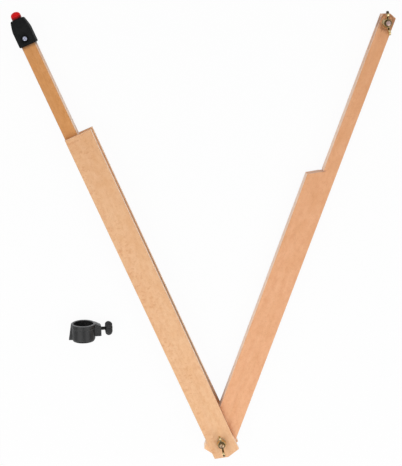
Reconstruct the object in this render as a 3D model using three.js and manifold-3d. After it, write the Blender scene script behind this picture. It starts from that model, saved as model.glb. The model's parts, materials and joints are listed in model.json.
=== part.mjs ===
// Blackboard compass: two beech legs on one bolt, and a loose clamp that takes a marker pen.
// The pivot leg is a fork of two cheeks with a stick between them, and stands on a soft red tip.
// The chalk leg is one stepped board that turns in the fork, and its split end pinches the chalk.
//
// Millimetres, +Z up. The compass lies on its back and both legs point along +Y, opened to a V.
// The origin is on the axis of the hinge, in the plane that the back lies on.

import * as THREE from 'three';
import { mergeVertices } from 'three/addons/utils/BufferGeometryUtils.js';
import Module from 'manifold-3d';

const wasm = await Module();
wasm.setup();

// How far each leg leans from +Y, the pivot leg to the left and the chalk leg to the right
const pivotLegLean = THREE.MathUtils.degToRad(23.9);
const chalkLegLean = THREE.MathUtils.degToRad(18.9);

// Boards: x runs across a leg, y along it from the hinge axis, z through its thickness
const boardWidth = 28.8;
const cheekThickness = 4.5;
const middleThickness = 14;
const layerGap = 0.3;
const centreGap = 0.3;
const edgeEase = 0.4;
const shoulderDrop = 14.6;
const gableRise = 3.9;
const cheekReach = 364.5;
const stickOverlap = 60;
const stickShown = 99.9;
const stepRise = 7.9;
const stepClearance = 0.6;
const narrowLength = 174.9;
const tipRise = 2.7;

// Split end of the chalk leg
const chalkBore = 10.5;
const kerfWidth = 1.8;
const kerfLength = 40;
const chalkBoltInset = 7.1;

// Bolts with a flat countersunk head and a square neck, and their washers and wing nuts
const fitGap = 0.3;
const boltDiameter = 5;
const boltHeadDiameter = 10.5;
const boltHeadLand = 0.6;
const peenDiameter = 6.2;
const peenHeight = 1.2;
const threadPitch = 0.8;
const slackTurns = 2;
const washerDiameter = 10;
const washerThickness = 1;
const nutBaseDiameter = 10;
const nutTopDiameter = 8.2;
const nutBaseLand = 1.2;
const nutHeight = 5;
const wingSpan = 24;
const wingHeight = 10.5;
const wingThickness = 2.3;
const wingTipRadius = 3.1;
const wingEase = 0.5;
const pivotWingTurn = THREE.MathUtils.degToRad(-10.9);
const chalkWingTurn = THREE.MathUtils.degToRad(26.9);

// Moulded cap on the stick, its screw and the soft tip in its end
const capLength = 27.2;
const capTaperLength = 10.8;
const capWall = 1.7;
const capTaper = 4.4;
const capCornerRadius = 2.6;
const capEndRadius = 1.2;
const capFloor = 7.6;
const capFloorSkin = 1.3;
const capScrewInset = 6.9;
const capScrewHead = 4.8;
const capScrewHeadHeight = 1.5;
const capScrewShank = 2.4;
const capScrewLength = 9;
const capRecess = 0.9;
const capRecessDiameter = 6.6;
const tipDiameter = 10;
const tipHeight = 6.9;
const tipRim = 3;
const tipStemDiameter = 6;

// Marker clamp: x runs from the ring's axis through the screw, z along the ring's axis
const ringOuterDiameter = 24.8;
const ringWall = 1.9;
const ringHeight = 18.8;
const ringEase = 0.5;
const collarHeight = 4.8;
const collarProud = 0.3;
const bossReach = 6.2;
const bossWidth = 9;
const bossHeight = 14.2;
const bossSlope = 3.1;
const bossEase = 0.9;
const finReach = 3.4;
const finTopReach = 0.6;
const finThickness = 2.4;
const finEase = 0.4;
const finTurnDegrees = 13;
const studDiameter = 4;
const studDrop = 6.9;
const studShown = 4.6;
const studProud = 2.6;
const studSocketDepth = 4;
const knobDiameter = 15.5;
const knobThickness = 7.2;
const knobLobeDepth = 1.3;
const knobLobes = 7;
const knobFaceShare = 0.7;
const clampX = -147;
const clampY = 113;
const floorGap = 0.02;

// Facets and overruns
const boreSides = 24;
const ringSides = 48;
const overrun = 5;

// Places worked out from the sizes
const halfWidth = boardWidth / 2;
const narrowWidth = halfWidth - centreGap;
const narrowCentre = centreGap + narrowWidth / 2;
const middleBack = cheekThickness + layerGap;
const middleFront = middleBack + middleThickness;
const middleHeight = (middleBack + middleFront) / 2;
const frontCheekBack = middleFront + layerGap;
const forkThickness = frontCheekBack + cheekThickness;
const stepReach = cheekReach - stickOverlap;
const tipShoulderReach = stepReach + narrowLength;
const chalkBoltReach = tipShoulderReach - chalkBoltInset;
const capStart = cheekReach + stickShown;
const capEnd = capStart + capLength;
const capTaperStart = capEnd - capTaperLength;
const capScrewReach = capStart + capScrewInset;
const stickEnd = capEnd - capFloor - fitGap;
const capOuterWidth = narrowWidth + 2 * fitGap + 2 * capWall;
const capOuterThickness = middleThickness + 2 * fitGap + 2 * capWall;
const capFront = middleHeight + capOuterThickness / 2;
const nutTravel = slackTurns * threadPitch;
const boltNeckDepth = cheekThickness - fitGap;
const tipStemLength = capFloor - capFloorSkin - fitGap;
const studBoreDiameter = studDiameter + 2 * fitGap;

// Turns a closed geometry into a solid that can be joined and cut
function solid(geometry) {
  geometry.deleteAttribute('normal');
  geometry.deleteAttribute('uv');
  const merged = mergeVertices(geometry);
  const index = merged.index.array;
  const triVerts = [];
  for (let i = 0; i < index.length; i += 3) {
    const [a, b, c] = index.slice(i, i + 3);
    if (a !== b && b !== c && c !== a) triVerts.push(a, b, c);
  }
  return new wasm.Manifold(new wasm.Mesh({
    numProp: 3,
    vertProperties: merged.attributes.position.array,
    triVerts: new Uint32Array(triVerts),
  }));
}

function node(name, shape, look) {
  const { vertProperties, triVerts } = shape.getMesh();
  const geometry = new THREE.BufferGeometry();
  geometry.setAttribute('position', new THREE.BufferAttribute(vertProperties, 3));
  geometry.setIndex(new THREE.BufferAttribute(triVerts, 1));
  geometry.computeVertexNormals();
  const material = new THREE.MeshStandardMaterial({ flatShading: true, ...look });
  const mesh = new THREE.Mesh(geometry, material);
  mesh.name = name;
  return mesh;
}

function outline(points) {
  return new THREE.Shape(points.map(([x, y]) => new THREE.Vector2(x, y)));
}

// Plate of an outline in x and y, from z = 0 to its thickness, with its edges eased
function plate(shape, thickness, ease, steps = 1) {
  const geometry = new THREE.ExtrudeGeometry(shape, {
    depth: thickness - 2 * ease,
    bevelThickness: ease,
    bevelSize: ease,
    bevelOffset: -ease,
    bevelSegments: steps,
    curveSegments: boreSides / 2,
  });
  return geometry.translate(0, 0, ease);
}

// Round body about the z axis, from a profile of radius and height
function turned(profile, sides) {
  const points = profile.map(([radius, height]) => new THREE.Vector2(radius, height));
  return new THREE.LatheGeometry(points, sides).rotateX(Math.PI / 2);
}

// Straight bore or pin along z
function rod(diameter, from, to, sides = boreSides) {
  const geometry = new THREE.CylinderGeometry(diameter / 2, diameter / 2, to - from, sides);
  return geometry.rotateX(Math.PI / 2).translate(0, 0, (from + to) / 2);
}

function block(width, depth, height, x, y, z) {
  return new THREE.BoxGeometry(width, depth, height).translate(x, y, z);
}

// Bolt along z from the face of its head, for wood of the given thickness.
// With a clearance it is the hole that the bolt goes through.
const headAndNeck = (clearance) => {
  const headRadius = boltHeadDiameter / 2 + clearance;
  const shankRadius = boltDiameter / 2 + clearance;
  return { headRadius, shankRadius, coneEnd: boltHeadLand + headRadius - shankRadius };
};

function neck(clearance) {
  const side = boltDiameter + 2 * clearance;
  const from = boltHeadLand;
  const to = boltNeckDepth + clearance;
  return solid(block(side, side, to - from, 0, 0, (from + to) / 2));
}

function bolt(woodThickness) {
  const { headRadius, shankRadius, coneEnd } = headAndNeck(0);
  const shankEnd = woodThickness + fitGap + washerThickness + fitGap + nutHeight + nutTravel + fitGap;
  const profile = [
    [0, 0],
    [headRadius, 0],
    [headRadius, boltHeadLand],
    [shankRadius, coneEnd],
    [shankRadius, shankEnd],
    [peenDiameter / 2, shankEnd + peenHeight / 3],
    [peenDiameter / 2, shankEnd + peenHeight / 2],
    [peenDiameter / 3, shankEnd + peenHeight],
    [0, shankEnd + peenHeight],
  ];
  return solid(turned(profile, boreSides)).add(neck(0));
}

function boltHole(woodThickness) {
  const { headRadius, shankRadius, coneEnd } = headAndNeck(fitGap);
  const profile = [
    [0, -overrun],
    [headRadius, -overrun],
    [headRadius, boltHeadLand],
    [shankRadius, coneEnd],
    [shankRadius, woodThickness + overrun],
    [0, woodThickness + overrun],
  ];
  return solid(turned(profile, boreSides)).add(neck(fitGap));
}

function washer() {
  const ring = solid(rod(washerDiameter, 0, washerThickness, ringSides));
  return ring.subtract(solid(rod(boltDiameter + 2 * fitGap, -overrun, washerThickness + overrun)));
}

// Wing nut with its base at z = 0 and its wings along x, spreading and rising to round ends
function wingNut() {
  const hub = solid(turned([
    [0, 0],
    [nutBaseDiameter / 2, 0],
    [nutBaseDiameter / 2, nutBaseLand],
    [nutTopDiameter / 2, nutHeight],
    [0, nutHeight],
  ], boreSides));
  const tipX = wingSpan / 2 - wingTipRadius;
  const tipZ = wingHeight - wingTipRadius;
  const underside = -Math.PI / 5;
  const shape = new THREE.Shape();
  shape.moveTo(0, nutBaseLand);
  shape.lineTo(nutBaseDiameter / 2, nutBaseLand);
  shape.quadraticCurveTo(
    tipX, nutBaseLand,
    tipX + wingTipRadius * Math.cos(underside), tipZ + wingTipRadius * Math.sin(underside),
  );
  shape.absarc(tipX, tipZ, wingTipRadius, underside, Math.PI * 0.8, false);
  shape.quadraticCurveTo(nutTopDiameter / 2, nutHeight, nutTopDiameter / 4, nutHeight);
  shape.lineTo(0, nutHeight);
  const wing = () => plate(shape, wingThickness, wingEase).translate(0, 0, -wingThickness / 2)
    .rotateX(Math.PI / 2);
  const bore = solid(rod(boltDiameter + 2 * fitGap, -overrun, nutHeight + overrun));
  return hub.add(solid(wing())).add(solid(wing().rotateZ(Math.PI))).subtract(bore);
}

// Washer and wing nut over the wood at z, round the bolt
function nutAndWasher(name, x, y, z, turn, look) {
  const washerMesh = node(`${name}_washer`, washer(), look);
  washerMesh.position.set(x, y, z + fitGap);
  const nutMesh = node(`${name}_wing_nut`, wingNut(), look);
  nutMesh.position.set(x, y, z + fitGap + washerThickness + fitGap);
  nutMesh.rotation.z = turn + Math.PI / 2;
  return [washerMesh, nutMesh];
}

// Boards
const gable = [
  [-halfWidth, -shoulderDrop],
  [0, -shoulderDrop - gableRise],
  [halfWidth, -shoulderDrop],
];

function board(points, thickness, z) {
  return solid(plate(outline(points), thickness, edgeEase).translate(0, 0, z));
}

function cheek(z) {
  return board([...gable, [halfWidth, cheekReach], [-halfWidth, cheekReach]], cheekThickness, z);
}

function frontCheek() {
  return cheek(frontCheekBack).subtract(solid(rod(boltDiameter + 2 * fitGap, 0, forkThickness + overrun)));
}

function backCheek() {
  return cheek(0).subtract(boltHole(cheekThickness));
}

// The stick fills the outer half of the fork down to the step of the folded chalk leg
function pivotStick() {
  const slope = stepRise / halfWidth;
  const start = stepReach + stepClearance * Math.hypot(1, slope);
  const stick = board([
    [-halfWidth, start],
    [-centreGap, start + slope * narrowWidth],
    [-centreGap, stickEnd],
    [-halfWidth, stickEnd],
  ], middleThickness, middleBack);
  const pilot = solid(rod(capScrewShank + 2 * fitGap, capScrewTip() - fitGap, middleFront + overrun, boreSides)
    .translate(-narrowCentre, capScrewReach, 0));
  return stick.subtract(pilot);
}

function chalkLeg() {
  const leg = board([
    ...gable,
    [halfWidth, tipShoulderReach],
    [narrowCentre, tipShoulderReach + tipRise],
    [centreGap, tipShoulderReach],
    [centreGap, stepReach + stepRise * (halfWidth + centreGap) / halfWidth],
    [-halfWidth, stepReach],
  ], middleThickness, middleBack);
  const hinge = solid(rod(boltDiameter + 2 * fitGap, 0, forkThickness));
  const kerf = solid(block(
    halfWidth + 2 * overrun, kerfLength + overrun, kerfWidth,
    narrowCentre, tipShoulderReach + tipRise - kerfLength / 2 + overrun / 2, middleHeight,
  ));
  const socket = solid(rod(chalkBore, chalkBoltReach, tipShoulderReach + tipRise + overrun)
    .rotateX(-Math.PI / 2).translate(narrowCentre, 0, middleHeight));
  const hole = boltHole(middleThickness).translate([narrowCentre, chalkBoltReach, middleBack]);
  return leg.subtract(hinge).subtract(kerf).subtract(socket).subtract(hole);
}

// Cap: a rounded square tube that tapers to a thick end
function capScrewTip() {
  return capFront - capRecess + fitGap - capScrewLength;
}

function roundedRectangle(width, height, radius) {
  const [x, y] = [width / 2, height / 2];
  const shape = new THREE.Shape();
  shape.absarc(x - radius, y - radius, radius, 0, Math.PI / 2, false);
  shape.absarc(radius - x, y - radius, radius, Math.PI / 2, Math.PI, false);
  shape.absarc(radius - x, radius - y, radius, Math.PI, Math.PI * 1.5, false);
  shape.absarc(x - radius, radius - y, radius, Math.PI * 1.5, Math.PI * 2, false);
  return shape;
}

function footCap() {
  const length = capEnd - capStart;
  const section = roundedRectangle(capOuterWidth, capOuterThickness, capCornerRadius);
  const steps = 12;
  const geometry = new THREE.ExtrudeGeometry(section, {
    depth: length - 2 * capEndRadius,
    steps,
    bevelThickness: capEndRadius,
    bevelSize: capEndRadius,
    bevelOffset: -capEndRadius,
    bevelSegments: 3,
    curveSegments: 4,
  });
  geometry.translate(0, 0, capStart + capEndRadius);
  const positions = geometry.attributes.position;
  for (let i = 0; i < positions.count; i += 1) {
    const share = Math.max(0, (positions.getZ(i) - capTaperStart) / (capEnd - capTaperStart));
    const scale = 1 - (capTaper / capOuterWidth) * share ** 1.3;
    positions.setX(i, positions.getX(i) * scale);
    positions.setY(i, positions.getY(i) * scale);
  }
  const alongLeg = (piece) => solid(piece.rotateX(-Math.PI / 2).translate(-narrowCentre, 0, middleHeight));
  const cavity = alongLeg(block(
    narrowWidth + 2 * fitGap, middleThickness + 2 * fitGap, stickEnd + fitGap - capStart + overrun,
    0, 0, (capStart - overrun + stickEnd + fitGap) / 2,
  ));
  const stemBore = alongLeg(rod(tipStemDiameter + 2 * fitGap, capEnd - tipStemLength - fitGap, capEnd + overrun));
  const screwHole = rod(capScrewShank + 2 * fitGap, middleHeight, capFront + overrun);
  const recess = rod(capRecessDiameter, capFront - capRecess, capFront + overrun);
  return alongLeg(geometry)
    .subtract(cavity)
    .subtract(stemBore)
    .subtract(solid(screwHole.translate(-narrowCentre, capScrewReach, 0)))
    .subtract(solid(recess.translate(-narrowCentre, capScrewReach, 0)));
}

// Pan-head screw with its head's seat at z = 0
function capScrew() {
  return solid(turned([
    [0, -capScrewLength],
    [capScrewShank / 4, -capScrewLength],
    [capScrewShank / 2, -capScrewLength + capScrewShank],
    [capScrewShank / 2, 0],
    [capScrewHead / 2, 0],
    [capScrewHead / 2, capScrewHeadHeight / 2],
    [capScrewHead / 3, capScrewHeadHeight * 0.9],
    [0, capScrewHeadHeight],
  ], boreSides));
}

// Soft tip along z: a stem below z = 0, a straight rim and a domed end
function footTip() {
  const radius = tipDiameter / 2;
  const domeSteps = 6;
  const dome = Array.from({ length: domeSteps + 1 }, (_, i) => {
    const angle = (i / domeSteps) * (Math.PI / 2);
    return [radius * Math.cos(angle), tipRim + (tipHeight - tipRim) * Math.sin(angle)];
  });
  dome[domeSteps][0] = 0;
  return solid(turned([
    [0, -tipStemLength],
    [tipStemDiameter / 2, -tipStemLength],
    [tipStemDiameter / 2, 0],
    [radius, 0],
    ...dome,
  ], ringSides / 2));
}

// Marker clamp
const ringOuter = ringOuterDiameter / 2;
const ringInner = ringOuter - ringWall;
const ringMiddle = ringOuter - ringWall / 2;
const bossBottom = ringHeight - bossHeight;
const bossOuterTop = ringHeight - bossSlope;
const studHeight = ringHeight - studDrop;
const bossEnd = ringOuter + bossReach;
const knobStart = bossEnd + studShown;
const knobEnd = knobStart + knobThickness;

// Pieces that are drawn with x along the screw and y up the ring, then stood upright
function upright(shape, thickness, ease, steps) {
  return solid(plate(shape, thickness, ease, steps).translate(0, 0, -thickness / 2).rotateX(Math.PI / 2));
}

// Pieces turned or extruded along z, then laid along the screw
function alongScrew(geometry) {
  return solid(geometry.rotateY(Math.PI / 2).translate(0, 0, studHeight));
}

function clampBody() {
  const collarOuter = ringOuter + collarProud;
  const ring = solid(turned([
    [ringInner, ringEase],
    [ringInner + ringEase, 0],
    [ringOuter - ringEase, 0],
    [ringOuter, ringEase],
    [ringOuter, ringHeight - collarHeight],
    [collarOuter, ringHeight - collarHeight + collarProud],
    [collarOuter, ringHeight - ringEase],
    [collarOuter - ringEase, ringHeight],
    [ringInner + ringEase, ringHeight],
    [ringInner, ringHeight - ringEase],
    [ringInner, ringEase],
  ], ringSides));
  const boss = upright(outline([
    [ringInner / 2, bossBottom],
    [bossEnd, bossBottom],
    [bossEnd, bossOuterTop],
    [ringOuter, ringHeight],
    [ringInner / 2, ringHeight],
  ]), bossWidth, bossEase, 2);
  const fin = upright(outline([
    [-ringOuter - finReach, 0],
    [-ringInner / 2, 0],
    [-ringInner / 2, ringHeight],
    [-ringOuter - finTopReach, ringHeight],
  ]), finThickness, finEase).rotate([0, 0, -finTurnDegrees]);
  const bore = solid(rod(2 * ringMiddle, -overrun, ringHeight + overrun, ringSides));
  const screwBore = alongScrew(rod(studBoreDiameter, ringInner / 2, bossEnd + overrun));
  return ring.add(boss.add(fin).subtract(bore)).subtract(screwBore);
}

function clampStud() {
  return alongScrew(rod(studDiameter, ringInner - studProud, knobStart + studSocketDepth));
}

// Lobed knob, widest at its middle and smaller at both faces, its inner face at knobStart
function clampKnob() {
  const pointsPerLobe = 8;
  const count = knobLobes * pointsPerLobe;
  const rim = Array.from({ length: count }, (_, i) => {
    const angle = (i / count) * Math.PI * 2;
    const radius = knobDiameter / 2 - (knobLobeDepth / 2) * (1 - Math.cos(knobLobes * angle));
    return [-radius * Math.sin(angle), radius * Math.cos(angle)];
  });
  const geometry = new THREE.ExtrudeGeometry(outline(rim), {
    depth: knobThickness,
    steps: 8,
    bevelEnabled: false,
  });
  const positions = geometry.attributes.position;
  for (let i = 0; i < positions.count; i += 1) {
    const share = Math.abs((2 * positions.getZ(i)) / knobThickness - 1);
    const scale = 1 - (1 - knobFaceShare) * share ** 2.4;
    positions.setX(i, positions.getX(i) * scale);
    positions.setY(i, positions.getY(i) * scale);
  }
  const knob = alongScrew(geometry.translate(0, 0, knobStart));
  const socket = alongScrew(rod(studBoreDiameter, knobStart - overrun, knobStart + studSocketDepth + fitGap));
  return knob.subtract(socket);
}

// The clamp lies on its side: the ring rests on the floor and tilts until the knob's rim does too
function clampTilt() {
  const rest = ringOuter + collarProud;
  const knobMiddle = (knobStart + knobEnd) / 2;
  const reach = Math.hypot(knobMiddle, knobDiameter / 2);
  return Math.asin(rest / reach) - Math.atan2(knobDiameter / 2, knobMiddle);
}

const frontBeech = { color: 0xe6b58c, roughness: 0.62, metalness: 0 };
const stickBeech = { color: 0xce915c, roughness: 0.62, metalness: 0 };
const chalkLegBeech = { color: 0xe6ab80, roughness: 0.62, metalness: 0 };
const blackPlastic = { color: 0x2b2c2c, roughness: 0.5, metalness: 0 };
const redRubber = { color: 0xd41c1c, roughness: 0.45, metalness: 0 };
const zinc = { color: 0xb5afa0, roughness: 0.35, metalness: 1 };
const blackSteel = { color: 0x33322f, roughness: 0.45, metalness: 1 };

const pivotLeg = new THREE.Group();
pivotLeg.rotation.z = pivotLegLean;
const capScrewMesh = node('cap_screw', capScrew(), zinc);
capScrewMesh.position.set(-narrowCentre, capScrewReach, capFront - capRecess + fitGap);
const footTipMesh = node('foot_tip', footTip(), redRubber);
footTipMesh.position.set(-narrowCentre, capEnd + fitGap, middleHeight);
footTipMesh.rotation.x = -Math.PI / 2;
pivotLeg.add(
  node('back_cheek', backCheek(), frontBeech),
  node('pivot_stick', pivotStick(), stickBeech),
  node('front_cheek', frontCheek(), frontBeech),
  node('foot_cap', footCap(), blackPlastic),
  capScrewMesh,
  footTipMesh,
  node('pivot_bolt', bolt(forkThickness), zinc),
  ...nutAndWasher('pivot', 0, 0, forkThickness, pivotWingTurn, zinc),
);

const chalkLegGroup = new THREE.Group();
chalkLegGroup.rotation.z = -chalkLegLean;
const chalkBoltMesh = node('chalk_bolt', bolt(middleThickness), zinc);
chalkBoltMesh.position.set(narrowCentre, chalkBoltReach, middleBack);
chalkLegGroup.add(
  node('chalk_leg', chalkLeg(), chalkLegBeech),
  chalkBoltMesh,
  ...nutAndWasher('chalk', narrowCentre, chalkBoltReach, middleFront, chalkWingTurn, zinc),
);

const markerClamp = new THREE.Group();
markerClamp.rotation.set(-Math.PI / 2, clampTilt(), 0, 'YXZ');
markerClamp.position.set(clampX, clampY, ringOuter + collarProud + floorGap);
markerClamp.add(
  node('clamp_body', clampBody(), blackPlastic),
  node('clamp_stud', clampStud(), blackSteel),
  node('clamp_knob', clampKnob(), blackPlastic),
);

const compass = new THREE.Group();
compass.add(pivotLeg, chalkLegGroup, markerClamp);

export default compass;
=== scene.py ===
# %% [markdown]
# # A wooden blackboard compass
#
# Two beech legs turn on one bolt. The pivot leg is a fork: two thin cheeks with a stick glued
# between them, ending in a moulded cap with a soft red tip. The chalk leg is one stepped board
# with a split end, and a wing nut closes the split on the chalk. A black clamp for a marker pen
# lies beside the legs.
#
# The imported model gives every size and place, so it is loaded first and nothing is fitted to it
# by eye. The boards are copied from it and get rounded edges and a wood finish. The small
# hardware and the mouldings are modelled again here, with threads, fillets and soft edges.

# %% Load the frame
import json
import math

import bmesh
import bpy
from mathutils import Matrix, Vector


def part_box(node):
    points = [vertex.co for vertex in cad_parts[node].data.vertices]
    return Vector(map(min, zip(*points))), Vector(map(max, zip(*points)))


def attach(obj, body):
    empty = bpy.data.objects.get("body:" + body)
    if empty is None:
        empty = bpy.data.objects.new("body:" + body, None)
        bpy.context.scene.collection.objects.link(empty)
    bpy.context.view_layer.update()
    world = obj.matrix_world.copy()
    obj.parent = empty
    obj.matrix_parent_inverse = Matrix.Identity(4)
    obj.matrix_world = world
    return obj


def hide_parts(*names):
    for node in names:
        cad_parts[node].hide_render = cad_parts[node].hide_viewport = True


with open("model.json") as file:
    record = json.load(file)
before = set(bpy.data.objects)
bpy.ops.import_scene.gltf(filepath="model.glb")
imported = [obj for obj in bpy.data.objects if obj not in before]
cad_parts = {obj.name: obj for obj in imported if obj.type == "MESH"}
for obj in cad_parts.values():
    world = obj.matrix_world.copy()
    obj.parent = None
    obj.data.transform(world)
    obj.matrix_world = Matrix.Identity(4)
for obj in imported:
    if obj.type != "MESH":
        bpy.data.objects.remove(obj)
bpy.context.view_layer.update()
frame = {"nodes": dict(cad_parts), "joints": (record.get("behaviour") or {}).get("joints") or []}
nodes = frame["nodes"]
joints = {joint["name"]: joint for joint in frame["joints"]}
HINGE_AXIS = joints["pivot_nut_turn"]["pos_m"]
SPLIT_END_AXIS = joints["chalk_nut_turn"]["pos_m"]

# %% [markdown]
# ## The camera
#
# The photograph looks down on the compass from a little over a metre. Its camera was worked out
# from the corners of the boards: where it stands, how far it tips and the field of view that
# makes every corner fall where the picture has it. A camera looks along its own -Z, so a camera
# with no rotation looks straight down, and two small turns do the rest.

# %% Camera
MM = 0.001
CAMERA_PLACE = Vector((-44.72, 471.65, 1065.18)) * MM
CAMERA_TIP = math.radians(-12.95)
CAMERA_PAN = math.radians(-1.153)
PICTURE_HEIGHT_PX = 466
FOCAL_LENGTH_PX = 1039.6

camera = bpy.data.objects.new("camera", bpy.data.cameras.new("camera"))
bpy.context.scene.collection.objects.link(camera)
camera.data.sensor_fit = "VERTICAL"
camera.data.sensor_height = 24
camera.data.lens = camera.data.sensor_height * FOCAL_LENGTH_PX / PICTURE_HEIGHT_PX
camera.matrix_world = (
    Matrix.Translation(CAMERA_PLACE)
    @ Matrix.Rotation(CAMERA_TIP, 4, "X")
    @ Matrix.Rotation(CAMERA_PAN, 4, "Y")
)
bpy.context.scene.camera = camera
print("lens", round(camera.data.lens, 2), "mm")

# %% [markdown]
# ## Shader maths in Python
#
# A material is a net of nodes, and a net written one link at a time is hard to read. A Term holds
# one output of a node. Python's operators on a Term add Math nodes, so a mask can be written as a
# formula. A Finish holds a node tree and its main shader, and its node method adds any other kind
# of node.

# %% Terms and finishes
class Term:
    """One output of a shader node, with Python's operators adding Math nodes."""

    def __init__(self, finish, socket):
        self.finish = finish
        self.socket = socket

    def maths(self, operation, *values):
        settings = {"operation": operation}
        return self.finish.node("ShaderNodeMath", settings, dict(enumerate(values)))

    def __add__(self, other):
        return self.maths("ADD", self, other)

    def __sub__(self, other):
        return self.maths("SUBTRACT", self, other)

    def __rsub__(self, other):
        return self.maths("SUBTRACT", other, self)

    def __mul__(self, other):
        return self.maths("MULTIPLY", self, other)

    __radd__ = __add__

    def __abs__(self):
        return self.maths("ABSOLUTE", self)

    def fraction(self):
        return self.maths("FRACT", self)

    def between(self, low, high):
        """0 below low, 1 above high and a smooth step from one to the other."""
        settings = {"interpolation_type": "SMOOTHSTEP"}
        return self.finish.node("ShaderNodeMapRange", settings, {0: self, 1: low, 2: high})


class Finish:
    """The node tree of a material or of the world, with its main shader."""

    def __init__(self, holder, **constants):
        holder.use_nodes = True
        self.holder = holder
        self.tree = holder.node_tree
        mains = ("BSDF_PRINCIPLED", "BACKGROUND")
        self.shader = next(node for node in self.tree.nodes if node.type in mains)
        self.shade(**constants)

    def put(self, socket, value):
        if isinstance(value, Term):
            self.tree.links.new(value.socket, socket)
        else:
            socket.default_value = value

    def shade(self, **sockets):
        """Sets or links sockets of the main shader, an underscore standing for a space."""
        for socket, value in sockets.items():
            self.put(self.shader.inputs[socket.replace("_", " ")], value)

    def node(self, kind, settings=None, inputs=None, output=0):
        """Adds a node: first its settings, then the values or links of its sockets."""
        node = self.tree.nodes.new(kind)
        for name, value in (settings or {}).items():
            setattr(node, name, value)
        for key, value in (inputs or {}).items():
            self.put(node.inputs[key], value)
        return Term(self, node.outputs[output])

    def turned(self, vector, turn):
        return self.node("ShaderNodeMapping", {}, {"Vector": vector, "Rotation": turn})

    def point(self, scale, turn=(0, 0, 0), move=(0, 0, 0)):
        """The point being shaded, in the piece's own metres, moved, turned and scaled."""
        place = self.node("ShaderNodeTexCoord", output="Object")
        if any(move):
            place = self.node("ShaderNodeVectorMath", {"operation": "ADD"}, {0: place, 1: move})
        if any(turn):
            place = self.turned(place, turn)
        return self.node("ShaderNodeVectorMath", {"operation": "MULTIPLY"}, {0: place, 1: scale})

    def from_axis(self, axis):
        """How far the point is from an upright axis, such as a bolt's, in metres."""
        flat = self.point((1, 1, 0), move=(-axis[0], -axis[1], 0))
        return self.node("ShaderNodeVectorMath", {"operation": "LENGTH"}, {0: flat}, "Value")

    def noise(self, point, detail=3, roughness=0.5):
        inputs = {"Vector": point, "Scale": 1, "Detail": detail, "Roughness": roughness}
        return self.node("ShaderNodeTexNoise", {}, inputs, "Fac")

    def part(self, vector, axis):
        return self.node("ShaderNodeSeparateXYZ", {}, {0: vector}, axis)

    def blend(self, share, first, second):
        """Mixes two colours by a share from 0 to 1."""
        return self.node("ShaderNodeMix", {"data_type": "RGBA"}, {0: share, 6: first, 7: second}, 2)

    def bump(self, height, depth):
        """A Bump node for a height from 0 to 1 that stands for a depth in metres."""
        return self.node("ShaderNodeBump", {}, {"Height": height, "Distance": depth, "Strength": 1})


def material(name, **constants):
    return Finish(bpy.data.materials.new(name), **constants)


def srgb(code):
    """A colour written as six hexadecimal digits, as the linear values that shaders use."""
    parts = [int(code[i:i + 2], 16) / 255 for i in (0, 2, 4)]
    linear = [p / 12.92 if p <= 0.04045 else ((p + 0.055) / 1.055) ** 2.4 for p in parts]
    return (*linear, 1)


print("a mid grey is", [round(part, 3) for part in srgb("808080")[:3]])

# %% [markdown]
# ## The grain of beech
#
# The growth rings of beech are faint, so on a flat-sawn face they show as soft stripes along the
# board. What gives beech away is its flecks: thousands of short brown dashes, a millimetre or two
# long, where the rays of the wood are cut. In the cheeks the grain also curls here and there,
# which shows as patches of larger, browner marks.
#
# The pattern could be painted on each face, but then the ends of the boards would look wrong. It
# is built in space instead: rings round the heart of a tree that lies well outside the board, and
# noise drawn out along the grain. The faces then show stripes and the ends show arcs by
# themselves. Each leg leans, so the point is first turned to make y run along its boards.

# %% Beech grain
PIVOT_LEAN = math.radians(23.9)
CHALK_LEAN = math.radians(-18.9)
RING_SPACING = 4 * MM
RING_TAPER = 0.012


def growth_rings(wood, turn, shift, heart):
    """Rings round the heart of the tree, which run from 0 to 1 across each ring."""
    wander = wood.noise(wood.point((9, 5, 9), turn, shift), 2)
    swirl = wood.noise(wood.point((55, 26, 55), turn, shift), 2)
    across = wood.point((1, RING_TAPER, 1), turn, heart)
    radius = wood.node("ShaderNodeVectorMath", {"operation": "LENGTH"}, {0: across}, "Value")
    return (radius * (1 / RING_SPACING) + wander * 5 + swirl * 1.6).fraction()


def ray_flecks(wood, turn, shift):
    """1 on the short dashes where the rays are cut."""
    cells = {"Vector": wood.point((1500, 400, 1500), turn, shift), "Scale": 1, "Randomness": 1}
    return 1 - wood.node("ShaderNodeTexVoronoi", {}, cells, "Distance").between(0.1, 0.32)


def curled_grain(wood, turn, shift, patches):
    """1 on the larger marks of curled grain, which come in patches."""
    patch = wood.noise(wood.point((30, 9, 30), turn, patches), 2).between(0.42, 0.56)
    curl = wood.noise(wood.point((230, 330, 230), turn, shift), 2, 0.6).between(0.54, 0.66)
    return patch * curl


print("the legs lean by", [round(math.degrees(lean), 1) for lean in (PIVOT_LEAN, CHALK_LEAN)])

# %% [markdown]
# ## Painted shade on the wood
#
# Painted shade darkens the inside of the fork, the cheeks' sides by the hinge, and a ring round
# the nut of the chalk leg. Each place is a mask, worked out from how far along the leg a point is,
# how deep it lies or how far it is from a bolt, so no picture has to be painted.

# %% Painted shade on beech
NUT_SHADE = srgb("7a3c14")
FORK_SHADE = srgb("3c2412")
FORK_BOTTOM = 0.004
FORK_TOP = 0.0196
FORK_SOFTNESS = 0.0003
HINGE_SIDE_SHADE = srgb("b0601c")


def painted_nut_shade(wood, colour, mottle, axis):
    """Painted shade of a nut's wings, in a ring round its bolt on the wood."""
    bolt_distance = wood.from_axis(axis) + (mottle - 0.5) * 0.012
    shade_ring = bolt_distance.between(0.0045, 0.0065) * (1 - bolt_distance.between(0.0075, 0.0105))
    return wood.blend(shade_ring * 0.5, colour, NUT_SHADE)


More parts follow.
